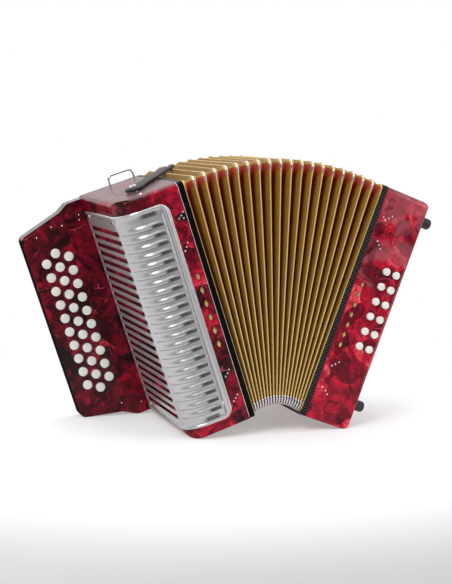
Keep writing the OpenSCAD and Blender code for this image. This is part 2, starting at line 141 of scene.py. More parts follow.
class Shape:
    """Collects points and faces of several parts of one piece."""

    def __init__(self):
        self.verts = []
        self.faces = []
        self.kinds = []

    def grid(self, rows, closed_u=False, closed_v=False, kind=0, keep=None):
        """Faces between rows of points; keep(i, j) may leave a face out."""
        base = len(self.verts)
        width = len(rows[0])
        for row in rows:
            self.verts.extend(row)
        last_i = len(rows) if closed_v else len(rows) - 1
        last_j = width if closed_u else width - 1
        for i in range(last_i):
            for j in range(last_j):
                if keep is not None and not keep(i, j):
                    continue
                a = base + i * width + j
                b = base + i * width + (j + 1) % width
                c = base + ((i + 1) % len(rows)) * width + (j + 1) % width
                d = base + ((i + 1) % len(rows)) * width + j
                self.faces.append((a, b, c, d))
                self.kinds.append(kind)

    def fan(self, ring, centre=None, kind=0):
        """Closes a ring of points, with one face or with triangles to a centre point."""
        base = len(self.verts)
        self.verts.extend(ring)
        if centre is None:
            self.faces.append(tuple(range(base, base + len(ring))))
            self.kinds.append(kind)
            return
        self.verts.append(centre)
        n = len(ring)
        for k in range(n):
            self.faces.append((base + k, base + (k + 1) % n, base + n))
            self.kinds.append(kind)

    def tube(self, path, radius, sides=8, kind=0, closed=False, flat=1.0):
        """Round tube along a path of points, with capped ends."""
        pts = [Vector(p) for p in path]
        n = len(pts)
        rows = []
        up = None
        for i, p in enumerate(pts):
            if closed:
                along = (pts[(i + 1) % n] - pts[i - 1]).normalized()
            else:
                along = (pts[min(i + 1, n - 1)] - pts[max(i - 1, 0)]).normalized()
            if up is None:
                up = Vector((0, 0, 1)) if abs(along.z) < 0.9 else Vector((0, 1, 0))
            side = along.cross(up).normalized()
            up = side.cross(along).normalized()
            r = radius(i / max(n - 1, 1)) if callable(radius) else radius
            turns = [2 * math.pi * k / sides for k in range(sides)]
            rows.append([p + side * (r * math.cos(a)) + up * (r * flat * math.sin(a)) for a in turns])
        self.grid(rows, closed_u=True, closed_v=closed, kind=kind)
        if not closed:
            self.fan(list(reversed(rows[0])), kind=kind)
            self.fan(rows[-1], kind=kind)

    def dome(self, centre, normal, radius, height, rings=4, sides=14, kind=0):
        """Low round cap that rises from the plane of its rim."""
        n = Vector(normal).normalized()
        a = n.orthogonal().normalized()
        b = n.cross(a)
        c = Vector(centre)
        rows = []
        for i in range(rings):
            t = math.pi / 2 * i / rings
            rows.append([
                c + (a * math.cos(p) + b * math.sin(p)) * radius * math.cos(t) + n * height * math.sin(t)
                for p in (2 * math.pi * k / sides for k in range(sides))
            ])
        self.grid(rows, closed_u=True, kind=kind)
        self.fan(rows[-1], centre=c + n * height, kind=kind)

    def piece(self, name, place=None, materials=(), sharp=32.0):
        return new_piece(name, self.verts, self.faces, place, materials, sharp, self.kinds)


# ---------------------------------------------------------------- material helpers
class Shader:
    """The nodes of a material or of the world, built from left to right."""

    def __init__(self, name, world=False):
        self.owner = (bpy.data.worlds if world else bpy.data.materials).new(name)
        self.owner.use_nodes = True
        self.tree = self.owner.node_tree
        self.tree.nodes.clear()
        self.made = 0

    def node(self, kind, values=None, **props):
        n = self.tree.nodes.new(kind)
        n.location = (self.made % 12 * 200, -(self.made // 12) * 300)
        self.made += 1
        for key, value in props.items():
            setattr(n, key, value)
        for key, value in (values or {}).items():
            if isinstance(value, bpy.types.NodeSocket):
                self.tree.links.new(value, n.inputs[key])
            else:
                n.inputs[key].default_value = value
        return n

    def coords(self):
        return self.node("ShaderNodeTexCoord").outputs["Object"]

    def normal(self):
        return self.node("ShaderNodeTexCoord").outputs["Normal"]

    def attribute(self, name):
        return self.node("ShaderNodeAttribute", attribute_name=name).outputs["Fac"]

    def math(self, op, a, b=0.0):
        return self.node("ShaderNodeMath", {0: a, 1: b}, operation=op).outputs[0]

    def vector_math(self, op, a, b=(0, 0, 0)):
        return self.node("ShaderNodeVectorMath", {0: a, 1: b}, operation=op).outputs[0]

    def dot(self, a, b):
        return self.node("ShaderNodeVectorMath", {0: a, 1: b}, operation="DOT_PRODUCT").outputs["Value"]

    def split(self, vector):
        return self.node("ShaderNodeSeparateXYZ", {0: vector}).outputs

    def stretch(self, vector, scale):
        return self.node("ShaderNodeMapping", {"Vector": vector, "Scale": scale}).outputs[0]

    def mix(self, factor, a, b, blend="MIX"):
        n = self.node("ShaderNodeMix", {0: factor, 6: a, 7: b}, data_type="RGBA", blend_type=blend)
        return n.outputs[2]

    def ramp(self, factor, stops):
        n = self.node("ShaderNodeValToRGB", {0: factor})
        while len(n.color_ramp.elements) < len(stops):
            n.color_ramp.elements.new(0.5)
        for element, (place, colour) in zip(n.color_ramp.elements, stops):
            element.position = place
            element.color = (*colour, 1)
        return n.outputs["Color"]

    def step(self, value, low, high, out_low=0.0, out_high=1.0):
        """Smooth change from out_low to out_high while the value goes from low to high."""
        n = self.node("ShaderNodeMapRange", {
            "Value": value, "From Min": low, "From Max": high, "To Min": out_low, "To Max": out_high,
        }, interpolation_type="SMOOTHSTEP")
        return n.outputs[0]

    def noise(self, vector, scale, detail=3.0, roughness=0.5, distortion=0.0, colour=False):
        n = self.node("ShaderNodeTexNoise", {
            "Vector": vector, "Scale": scale, "Detail": detail, "Roughness": roughness,
            "Distortion": distortion,
        })
        return n.outputs["Color" if colour else "Fac"]

    def cells(self, vector, scale):
        return self.node("ShaderNodeTexVoronoi", {"Vector": vector, "Scale": scale}).outputs["Color"]

    def cell_edges(self, vector, scale):
        values = {"Vector": vector, "Scale": scale}
        return self.node("ShaderNodeTexVoronoi", values, feature="DISTANCE_TO_EDGE").outputs["Distance"]

    def bump(self, height, strength=0.3, distance=0.2, normal=None):
        values = {"Height": height, "Strength": strength, "Distance": distance * MM}
        if normal is not None:
            values["Normal"] = normal
        return self.node("ShaderNodeBump", values).outputs[0]

    def surface(self, **values):
        names = {
            "colour": "Base Color", "metallic": "Metallic", "roughness": "Roughness", "normal": "Normal",
            "coat": "Coat Weight", "coat_roughness": "Coat Roughness", "coat_normal": "Coat Normal",
            "coat_ior": "Coat IOR", "sheen": "Sheen Weight", "sheen_roughness": "Sheen Roughness",
            "specular": "Specular IOR Level", "subsurface": "Subsurface Weight",
        }
        given = {names[key]: value for key, value in values.items()}
        return self.node("ShaderNodeBsdfPrincipled", given).outputs[0]

    def output(self, surface):
        self.node("ShaderNodeOutputMaterial", {"Surface": surface})
        return self.owner

    def finish(self, **values):
        return self.output(self.surface(**values))


RED_DARK = (0.03, 0.0008, 0.003)
RED_DEEP = (0.06, 0.002, 0.008)
RED_MID = (0.16, 0.002, 0.012)
RED_BRIGHT = (0.5, 0.006, 0.03)
RED_PINK = (0.82, 0.1, 0.13)
PAINTED_VEIL_COLOUR = (0.33, 0.085, 0.105, 1)
TOP_REFLECTION_COLOUR = (0.13, 0.075, 0.085, 1)
BASS_UP = (math.sin(bass_lean), 0.0, math.cos(bass_lean))


def pearloid(s, dark, shade, contrast=1.0, veil=None):
    """Marbled celluloid: silky flakes, each shaded from one side to the other, under a clear gloss.

    The veil is a painted pale reflection: (direction, where it starts, where it is full, its strength).
    """
    at = s.coords()
    wander = s.vector_math("SUBTRACT", s.noise(at, 26, 1.5, 0.5, colour=True), (0.5, 0.5, 0.5))
    warped = s.vector_math("ADD", at, s.vector_math("MULTIPLY", wander, (0.032, 0.032, 0.032)))

    def flakes(scale, weight, slope):
        cell = s.node("ShaderNodeTexVoronoi", {"Vector": warped, "Scale": scale, "Smoothness": 0.05},
                      feature="SMOOTH_F1").outputs
        pick = s.vector_math("SUBTRACT", cell["Color"], (0.5, 0.5, 0.5))
        across = s.vector_math("SUBTRACT", warped, cell["Position"])
        tilt = s.dot(across, pick)
        level = s.math("MULTIPLY", s.split(pick)[0], weight)
        return s.math("ADD", level, s.math("MULTIPLY", tilt, slope * scale)), cell["Color"]

    large, large_id = flakes(32, 0.3, 0.62)
    small, _ = flakes(68, 0.1, 0.3)
    silk_at = s.vector_math("ADD", at, s.vector_math("MULTIPLY", large_id, (0.7, 0.7, 0.7)))
    silk = s.math("SUBTRACT", s.noise(silk_at, 40, 3, 0.5, 1.8), 0.5)
    value = s.math("ADD", s.math("ADD", large, small), s.math("MULTIPLY", silk, 0.95))
    crease = s.cell_edges(warped, 74)
    value = s.math("SUBTRACT", value, s.step(crease, 0.0, 0.06, 0.12, 0.0))
    value = s.math("ADD", s.math("MULTIPLY", value, contrast), 0.45 + shade)
    colour = s.ramp(value, [
        (0.0, tuple(c * 0.35 for c in dark)), (0.2, dark), (0.44, RED_MID), (0.68, RED_BRIGHT),
        (0.9, RED_PINK),
        (1.0, tuple(min(1, c * 1.3) for c in RED_PINK)),
    ])
    edge = s.cell_edges(warped, 44)
    streak = s.math("MULTIPLY", s.step(edge, 0.0, 0.035, 1.0, 0.0), s.step(s.noise(at, 38, 2), 0.56, 0.66))
    colour = s.mix(s.math("MULTIPLY", streak, 0.5), colour, (*RED_PINK, 1))
    if veil is not None:
        up, low, high, amount = veil
        cloud = s.math("SUBTRACT", s.noise(warped, 34, 2, 0.5, 0.6), 0.5)
        patch = s.math("ADD", s.step(s.dot(at, up), low, high), s.math("MULTIPLY", cloud, 2.6))
        # painted pale reflection mixed into the colour over the veil's patch
        colour = s.mix(s.step(patch, 0.5, 0.95, 0.0, amount), colour, PAINTED_VEIL_COLOUR)
    upward = s.split(s.normal())[2]
    # painted reflection: faces that point up are tinted towards the mauve-grey of the bright space above
    colour = s.mix(s.step(upward, 0.45, 0.92, 0.0, 0.8), colour, TOP_REFLECTION_COLOUR)
    sparkle = s.bump(s.math("ADD", large, s.math("MULTIPLY", silk, 0.8)), 0.3, 0.6)
    ripple = s.bump(s.noise(at, 45, 2), 0.04, 0.15)
    return s.surface(
        colour=colour, roughness=s.math("ADD", s.math("MULTIPLY", silk, 0.25), 0.34), metallic=0.15,
        normal=sparkle, specular=0.1, coat=s.step(upward, 0.45, 0.92, 0.36, 0.16), coat_roughness=0.05,
        coat_normal=ripple, coat_ior=1.35,
    )


def casing_material(name, dark, shade, contrast=1.0, veil=None):
    s = Shader(name)
    return s.output(pearloid(s, dark, shade, contrast, veil))


def leather_material():
    s = Shader("strap_leather")
    at = s.coords()
    pores = s.cell_edges(at, 1100)
    folds = s.noise(at, 60, 4, 0.6)
    colour = s.mix(s.step(folds, 0.35, 0.75), (0.012, 0.011, 0.011, 1), (0.0388, 0.0353, 0.0342, 1))
    rough = s.math("ADD", s.math("MULTIPLY", folds, 0.25), 0.34)
    grain_bump = s.bump(s.math("MINIMUM", pores, 0.12), 0.5, 0.35)
    return s.finish(colour=colour, roughness=rough, normal=s.bump(folds, 0.3, 0.4, grain_bump), specular=0.45)


def metal(name, tint, rough, grain=0.0, share=1.0, shade=None):
    """Lightly stained metal; shade names a point attribute of painted shade and painted reflection that
    darkens it.
    """
    s = Shader(name)
    at = s.coords()
    streak = s.noise(at, 900, 3, 0.6)
    stain = s.noise(at, 35, 3)
    stained = (tint[0] * 0.75, tint[1] * 0.75, tint[2] * 0.76, 1)
    colour = s.mix(s.math("MULTIPLY", stain, 0.35), (*tint, 1), stained)
    if shade is not None:
        # mixes in the painted shade and painted dark reflections stored on the points
        colour = s.mix(s.attribute(shade), colour, (0.055, 0.055, 0.06, 1))
    value = s.math("ADD", s.math("MULTIPLY", streak, 0.18), rough - 0.09)
    return s.finish(colour=colour, metallic=share, roughness=value, normal=s.bump(streak, grain, 0.05))


def board_material():
    """Red pearloid on the face of the fingerboard; black sides, glossy only where they face up."""
    s = Shader("pearloid_board")
    red = pearloid(s, RED_DARK, -0.08, 0.78)
    facing = s.math("ABSOLUTE", s.split(s.normal())[1])
    side = s.step(facing, 0.72, 0.78, 1.0, 0.0)
    at = s.coords()
    wear = s.noise(at, 240, 4)
    black_paint = s.surface(
        colour=s.mix(s.step(wear, 0.62, 0.8, 0.0, 0.5), (0.006, 0.006, 0.007, 1), (0.03, 0.028, 0.028, 1)),
        roughness=s.math("ADD", s.math("MULTIPLY", wear, 0.12), 0.12),
        normal=s.bump(s.noise(at, 90, 2), 0.08, 0.2),
    )
    dull_colour = s.mix(wear, (0.004, 0.004, 0.005, 1), (0.014, 0.013, 0.013, 1))
    dull = s.node("ShaderNodeBsdfDiffuse", {"Color": dull_colour}).outputs[0]
    gloss = s.step(s.split(s.normal())[2], 0.0, 0.5)
    sides = s.node("ShaderNodeMixShader", {0: gloss, 1: dull, 2: black_paint}).outputs[0]
    return s.output(s.node("ShaderNodeMixShader", {0: side, 1: red, 2: sides}).outputs[0])


RIB_PITCH = 3 * MM


def lacquer(name, ribs=None):
    """Gloss black, with fine slanting ribs where a direction across them is given; each rib crest gets a
    painted highlight.
    """
    s = Shader(name)
    at = s.coords()
    wear = s.noise(at, 300, 4, 0.6)
    colour = s.mix(s.step(wear, 0.6, 0.85, 0.0, 0.5), (0.003, 0.003, 0.004, 1), (0.02, 0.019, 0.018, 1))
    rough = s.math("ADD", s.math("MULTIPLY", wear, 0.2), 0.2)
    normal = s.bump(s.noise(at, 120, 2), 0.1, 0.2)
    if ribs is not None:
        wave = s.math("SINE", s.math("MULTIPLY", s.dot(at, ribs), 2 * math.pi / RIB_PITCH))
        normal = s.bump(wave, 0.6, 0.25, normal)
        # painted highlight: the crest of each rib is coloured lighter than the black lacquer
        colour = s.mix(s.step(wave, 0.0, 0.9), (0.001, 0.001, 0.001, 1), (0.07, 0.066, 0.07, 1))
    return s.finish(colour=colour, roughness=rough, normal=normal, specular=0.05)


def button_material():
    s = Shader("button_white")
    at = s.coords()
    cloud = s.noise(at, 160, 3, 0.6)
    speck = s.noise(at, 900, 2)
    colour = s.mix(s.step(cloud, 0.35, 0.7), (0.72, 0.72, 0.66, 1), (0.82, 0.81, 0.76, 1))
    rough = s.math("ADD", s.math("MULTIPLY", cloud, 0.12), 0.2)
    speckle = s.bump(speck, 0.06, 0.05)
    return s.finish(colour=colour, roughness=rough, normal=speckle, subsurface=0.08, coat=0.3)


def rubber_material():
    s = Shader("foot_rubber")
    at = s.coords()
    grain = s.noise(at, 700, 4, 0.6)
    colour = s.mix(grain, (0.008, 0.008, 0.009, 1), (0.025, 0.024, 0.024, 1))
    return s.finish(colour=colour, roughness=s.math("ADD", s.math("MULTIPLY", grain, 0.2), 0.5),
                    normal=s.bump(grain, 0.35, 0.12))


def wood_material():
    s = Shader("reed_wood")
    at = s.coords()
    grain = s.noise(s.stretch(at, (8, 8, 0.6)), 60, 4, 0.6, 1.0)
    colour = s.ramp(grain, [(0.3, (0.28, 0.16, 0.07)), (0.55, (0.52, 0.34, 0.17)), (0.8, (0.66, 0.47, 0.27))])
    return s.finish(colour=colour, roughness=0.62, normal=s.bump(grain, 0.25, 0.2))


# Millimetres below a ridge at which the cloth ends, and between its woven ribs
TAPE_EDGE = 8.8
WEAVE_PITCH = 1.9


def bellows_material():
    """Gold cloth tape over the ridges, dark red card in the valleys and red leather in the corners."""
    s = Shader("bellows_cloth")
    at = s.coords()
    depth = s.attribute("fold_depth")
    flank = s.attribute("fold_flank")
    run = s.attribute("run")
    corner = s.attribute("corner")
    fold = s.attribute("fold_shade")
    blotch = s.noise(at, 70, 3)
    weave = s.math("SINE", s.math("MULTIPLY", run, 2 * math.pi / WEAVE_PITCH))
    weave_soft = s.math("MULTIPLY", s.math("ADD", weave, 1.0), 0.5)
    thread = s.noise(s.stretch(at, (1, 1, 3.0)), 1500, 2)
    tape = s.ramp(s.math("ADD", s.math("MULTIPLY", weave_soft, 0.5), s.math("MULTIPLY", thread, 0.5)), [
        (0.15, (0.15, 0.066, 0.005)), (0.5, (0.29, 0.148, 0.014)), (0.85, (0.41, 0.235, 0.034)),
    ])
    tape = s.mix(s.step(blotch, 0.4, 0.75, 0.0, 0.5), tape, (0.2, 0.11, 0.012, 1))
    # pale tan on each ridge: partly worn cloth, partly a painted highlight
    crest = s.mix(s.step(depth, 0.25, 1.0), (0.66, 0.46, 0.18, 1), tape)
    card = s.ramp(s.step(depth, TAPE_EDGE, 14.5), [
        (0.0, (0.22, 0.045, 0.006)), (0.5, (0.3, 0.02, 0.005)), (1.0, (0.2, 0.01, 0.004)),
    ])
    past_tape = s.step(depth, TAPE_EDGE, TAPE_EDGE + 0.6)
    colour = s.mix(past_tape, crest, card)
    near = s.math("MULTIPLY", s.step(corner, 14.0, 46.0, 0.75, 0.0), s.step(flank, 7.0, 9.5))
    colour = s.mix(near, colour, (0.34, 0.018, 0.006, 1))
    gusset = s.math("MULTIPLY", s.step(corner, 11.0, 15.0, 1.0, 0.0), s.step(flank, 3.0, 4.6))
    colour = s.mix(gusset, colour, (0.4, 0.04, 0.013, 1))
    darker = s.mix(1.0, colour, (0.72, 0.66, 0.55, 1), "MULTIPLY")
    shade = s.mix(s.math("MULTIPLY", fold, 0.35), colour, darker)
    on_tape = s.step(depth, TAPE_EDGE, TAPE_EDGE + 0.6, 1.0, 0.0)
    height = s.math("MULTIPLY", s.math("ADD", weave_soft, s.math("MULTIPLY", thread, 0.6)), on_tape)
    return s.finish(
        colour=shade, roughness=s.step(depth, TAPE_EDGE, TAPE_EDGE + 0.6, 0.46, 0.75),
        normal=s.bump(height, 0.45, 0.22), sheen=0.06, sheen_roughness=0.4, specular=0.3,
    )


treble_red = casing_material("pearloid_treble", RED_DARK, -0.02)
bass_red = casing_material("pearloid_bass", RED_DEEP, 0.1, 0.9, (BASS_UP, 0.1, 0.4, 0.62))
board_red = board_material()
black = lacquer("frame_black")
ribbed_black = lacquer("frame_black_ribbed", (0.45, 0.0, 0.89))
white = button_material()
rubber = rubber_material()
wood = wood_material()
chrome = metal("screw_metal", (0.82, 0.82, 0.84), 0.16, 0.1)
cap_metal = metal("corner_cap_metal", (0.6, 0.6, 0.62), 0.22, 0.15)
grille_metal = metal("grille_metal", (0.5, 0.49, 0.5), 0.3, 0.3, share=0.68, shade="louvre_shade")
border_metal = metal("grille_border_metal", (0.8, 0.8, 0.81), 0.2, 0.1)
gold = metal("gold_inlay", (0.83, 0.6, 0.25), 0.26, 0.15)
red_line = metal("red_line", (0.3, 0.03, 0.05), 0.3, 0.15)
silver_line = metal("silver_line", (0.85, 0.8, 0.76), 0.3, 0.15)
strap_black = leather_material()
cloth = bellows_material()


# ---------------------------------------------------------------- carried-over CAD nodes
def dress(node, material, bevel=0.0, segments=2):
    obj = frame["nodes"][node]
    obj.data.materials.clear()
    obj.data.materials.append(material)
    if bevel:
        add_bevel(obj, bevel, segments)


for name in frame["nodes"]:
    if name.startswith(("treble_button", "bass_button")) or name == "air_button":
        dress(name, white)
dress("treble_casing", treble_red)
dress("fingerboard", board_red, 1.2, 3)
dress("bass_casing", bass_red)
dress("bass_end_plate", bass_red, 0.5)
dress("treble_frame", black, 1.4, 3)
dress("bass_frame", ribbed_black, 1.4, 3)
dress("treble_reed_block", wood)
dress("bass_reed_block", wood)
dress("treble_screws", chrome, 0.35)
dress("strap_loops", chrome)
dress("feet", rubber, 0.4)


# ---------------------------------------------------------------- bellows
BELLOWS_Y = HALF_D - 1.0
BELLOWS_H = CASING_H - RISE
RIDGE_R = 7.0
FOLD_DEPTH = 16.0
CORNER_STEPS = (2, 4.5, 7.5, 11, 15, 20)
CORNERS = ((-1, -1), (1, -1), (1, 1), (-1, 1))


def smooth(t):
    t = max(0.0, min(1.0, t))
    return t * t * (3 - 2 * t)


def fan_point(share, across, y, h):
    """Row-frame point of the fanned bellows at a share of the way from the treble to the bass frame."""
    turn = -treble_lean + share * (treble_lean + bass_lean)
    x = HALF_GAP * (2 * share - 1) + across
    return PIVOT + Vector((
        (x * math.cos(turn) + h * math.sin(turn)) * MM,
        y * MM,
        (-x * math.sin(turn) + h * math.cos(turn)) * MM,
    ))


def corner_point(corner, u, inset, reach=0.0):
    """Point near a corner of the outline: u from -1 to 1 runs through its arc, reach goes on past its end."""
    side, up = CORNERS[corner]
    a = math.pi / 4 * (1 + max(-1.0, min(1.0, u)))
    y = side * (BELLOWS_Y - RIDGE_R + (RIDGE_R - inset) * math.cos(a))
    h = BELLOWS_H / 2 + up * (BELLOWS_H / 2 - RIDGE_R + (RIDGE_R - inset) * math.sin(a))
    if reach:
        if u > 0:
            y -= side * reach
        else:
            h -= up * reach
    return y, h


def ridge_outline():
    """Closed ridge line: (y, h, inward y, inward h, run, distance from the nearest corner)."""
    arc = [k / 3 - 1 for k in range(7)]
    points = []
    for corner in range(4):
        side, up = CORNERS[corner]
        order = list(reversed(arc)) if corner % 2 else arc
        for u in order:
            y, h = corner_point(corner, u, 0.0)
            a = math.pi / 4 * (1 + u)
            points.append((y, h, -side * math.cos(a), -up * math.sin(a), abs(u) * math.pi / 4 * RIDGE_R))
        last = points[-1]
        nxt = (corner + 1) % 4
        y1, h1 = corner_point(nxt, 1 if nxt % 2 else -1, 0.0)
        length = math.hypot(y1 - last[0], h1 - last[1])
        shares = [r / length for r in CORNER_STEPS]
        shares += [0.22, 0.36, 0.5, 0.64, 0.78] + [1 - t for t in reversed(shares)]
        for t in shares:
            away = min(t, 1 - t) * length + math.pi / 4 * RIDGE_R
            y, h = last[0] + (y1 - last[0]) * t, last[1] + (h1 - last[1]) * t
            points.append((y, h, last[2], last[3], away))
    out = []
    run = 0.0
    for i, (y, h, ny, nh, away) in enumerate(points):
        if i:
            run += math.hypot(y - points[i - 1][0], h - points[i - 1][1])
        out.append((y, h, ny, nh, run, away))
    return out


def local_depth(depth, away):
    """Depth below the ridge line; the gussets make the folds shallow at the corners."""
    return depth * (0.13 + 0.87 * smooth(away / 21))


def fold_stations():
    """(share, across, depth, fold shade) from the treble frame to the bass frame."""
    step = 1 / (FOLDS + 1)
    flank = [(1.0, 0.0), (2.2, 0.1), (5.0, 0.2), (10.6, 0.2), (11.1, 0.0), (13.0, 0.0), (15.4, 0.0)]
    stations = []
    for k in range(FOLDS + 2):
        here = k * step
        shade = (k * 0.618) % 1.0
        for side in (-1, 1):
            part = []
            for depth, tape in flank:
                t = (depth - 1.0) / (FOLD_DEPTH - 1.5)
                across = side * (0.9 * (1 - t) - 0.35 * t + tape)
                part.append((here + side * t * step / 2, across, depth, shade))
            if side < 0 and k > 0:
                stations.extend(reversed(part))
            if side < 0:
                if k > 0:
                    stations.append((here, -0.6, 0.25, shade))
                stations.append((here, 0.0, 0.0, shade))
                if k <= FOLDS:
                    stations.append((here, 0.6, 0.25, shade))
            elif k <= FOLDS:
                stations.extend(part)
                stations.append((here + step / 2, 0.0, FOLD_DEPTH, shade))
    return stations


def build_bellows():
    ridge_line = ridge_outline()
    verts, weights, depths, flanks, runs, corners, shades = [], [], [], [], [], [], []
    stations = fold_stations()
    for share, across, depth, shade in stations:
        for y, h, ny, nh, run, away in ridge_line:
            inset = local_depth(depth, away)
            verts.append(fan_point(share, across, y + ny * inset, h + nh * inset))
            weights.append(share)
            depths.append(inset)
            flanks.append(depth)
            runs.append(run)
            corners.append(away + 60 * smooth((abs(nh) - 0.35) / 0.3))
            shades.append(shade)
    n = len(ridge_line)
    faces = []
    for i in range(len(stations) - 1):
        for j in range(n):
            a, b = i * n + j, i * n + (j + 1) % n
            faces.append((a, b, b + n, a + n))
    obj = new_piece("bellows_folds", verts, faces, None, [cloth], 30.0)
    outward(obj)
    layers = {
        "fold_depth": depths, "fold_flank": flanks, "run": runs, "corner": corners, "fold_shade": shades,
    }
    for label, values in layers.items():
        add_layer(obj, label, values)
    return obj, weights


def bend_by_share(obj):
    """Bakes the piece's placement into its points."""
    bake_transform(obj)


bellows, bellows_shares = build_bellows()
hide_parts("bellows")
bend_by_share(bellows)


def build_caps():
    """Thin metal shoes pinched over the corners of every free ridge."""
    spots = [(-1, 5.5), (-1, 3.8), (-1, 1.8), (-1, 0), (-0.6, 0), (-0.2, 0)]
    spots += [(0.2, 0), (0.6, 0), (1, 0), (1, 1.5), (1, 3.0)]
    leg = [0.8, 1.4, 1.8, 2.1, 2.3, 2.4, 2.4, 2.2, 1.8, 1.3, 0.8]
    step = 1 / (FOLDS + 1)
    shape = Shape()
    weights = []
    for k in range(1, FOLDS + 1):
        here = k * step
        for corner in range(4):
            rows = []
            for (u, reach), length in zip(spots, leg):
                half = [(-1.12, length), (-1.12, length * 0.55), (-1.05, 0.1), (-0.66, -0.36), (0.0, -0.52)]
                section = half + [(-across, depth) for across, depth in reversed(half[:-1])]
                rows.append([])
                for across, depth in section:
                    y, h = corner_point(corner, u, depth, reach)
                    rows[-1].append(fan_point(here, across, y, h))
                    weights.append(here)
            shape.grid(rows)
    obj = shape.piece("bellows_corner_caps", None, [cap_metal], 50.0)
    add_sheet(obj, 0.22, 0.0)
    return obj, weights


caps, cap_shares = build_caps()
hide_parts("bellows_corners")
bend_by_share(caps)

# ---------------------------------------------------------------- grille
GRILLE_IN = 60.0
GRILLE_LOW = 15.0
GRILLE_HIGH = 291.0
GRILLE_BACK = 66.0
SHEET = 1.8
BEND_R = 30.0 + SHEET
CORNER_R = 12.0
BANDS = 22
BAND_MARGIN = 13.0
FRONT_LENGTH = TREBLE_OUT + SHEET - BEND_R - GRILLE_IN
BEND_LENGTH = BEND_R * math.pi / 2
SIDE_LENGTH = GRILLE_BACK + HALF_D + SHEET - BEND_R
BAND = (GRILLE_HIGH - GRILLE_LOW - 2 * BAND_MARGIN) / BANDS
LIP_FROM = 9.5
LIP_TO = FRONT_LENGTH + 0.75 * BEND_LENGTH
RIM_IN = 14.0


def plan_point(length):
    """(x, y, normal x, normal y) of the grille's outer face at a length from its inner edge."""
    if length <= FRONT_LENGTH:
        bow = 0.8 * math.sin(math.pi * length / FRONT_LENGTH) ** 1.5
        return GRILLE_IN + length, -HALF_D - SHEET - bow, 0.0, -1.0
    if length <= FRONT_LENGTH + BEND_LENGTH:
        a = (length - FRONT_LENGTH) / BEND_R
        cx, cy = GRILLE_IN + FRONT_LENGTH, -HALF_D - SHEET + BEND_R
        return cx + BEND_R * math.sin(a), cy - BEND_R * math.cos(a), math.sin(a), -math.cos(a)
    rest = length - FRONT_LENGTH - BEND_LENGTH
    return TREBLE_OUT + SHEET, -HALF_D - SHEET + BEND_R + rest, 1.0, 0.0


def edge_start(z):
    """Length at which the sheet starts at a height, round its two inner corners."""
    d = min(z - GRILLE_LOW, GRILLE_HIGH - z)
    if d >= CORNER_R:
        return 0.0
    return CORNER_R - math.sqrt(max(CORNER_R ** 2 - (CORNER_R - d) ** 2, 0.0))


def lip_height(fraction):
    """How far a louvre stands out, by the fraction of the way down its band."""
    t = (fraction - 0.3) / 0.6
    if t <= 0:
        return 0.0
    if t <= 1:
        rise = math.sin(math.pi * min(t / 0.78, 1.0) * 0.5) ** 1.3
        return 2.3 * rise * (1 - 0.5 * smooth((t - 0.78) / 0.22))
    return -1.6


def louvre_shade(fraction, at, edge):
    """Painted shade and painted dark reflections: in the channel inside the rim, at a louvre's inner end and
    under its lower lip.
    """
    channel = 0.45 * smooth((at - 6.0) / 0.8) * smooth((9.6 - at) / 0.8) * smooth((edge - 5.0) / 3.0)
    if fraction is None:
        inside = smooth((edge - 3.0) / 1.5) * smooth((10.4 - edge) / 2.0)
        return max(channel, 0.85 * inside * smooth((at - 14) / 5) * smooth((40 - at) / 9))
    turned = smooth((fraction - 0.5) / 0.14) * smooth((0.95 - fraction) / 0.05)
    end = turned * smooth((at - 11) / 2) * smooth((30 - at) / 6)
    lip = smooth((fraction - 0.84) / 0.04) * smooth((at - 11) / 3) * smooth((LIP_TO - at) / 4)
    return min(1.0, max(channel, 0.95 * end + 0.8 * lip))


def sheet_lift(fraction, length, at, edge):
    """How far the sheet stands out: rounded rim, groove inside it, channel and louvres."""
    lift = 0.0
    if 0.9 < length < 6.6:
        lift += 1.7 * math.sin(math.pi * (length - 0.9) / 5.7) ** 0.6 * smooth(edge / 5.0)
    if 6.6 <= length < 9.2:
        lift -= 0.8 * math.sin(math.pi * (length - 6.6) / 2.6) * smooth(edge / 5.0)
    if length > 9.6:
        if edge < 2.6:
            lift += 0.9 * math.sin(math.pi * edge / 2.6) ** 0.8
        elif edge < 10.6:
            lift -= 0.75 * math.sin(math.pi * (edge - 2.6) / 8.0)
    if fraction is not None and LIP_FROM < at < LIP_TO:
        fade = 0.22 + 0.78 * smooth((LIP_TO - at) / 40.0)
        ends = smooth((at - LIP_FROM) / 12.0) * fade * smooth((LIP_TO - at) / 4.0)
        lift += lip_height(fraction) * ends
    return lift


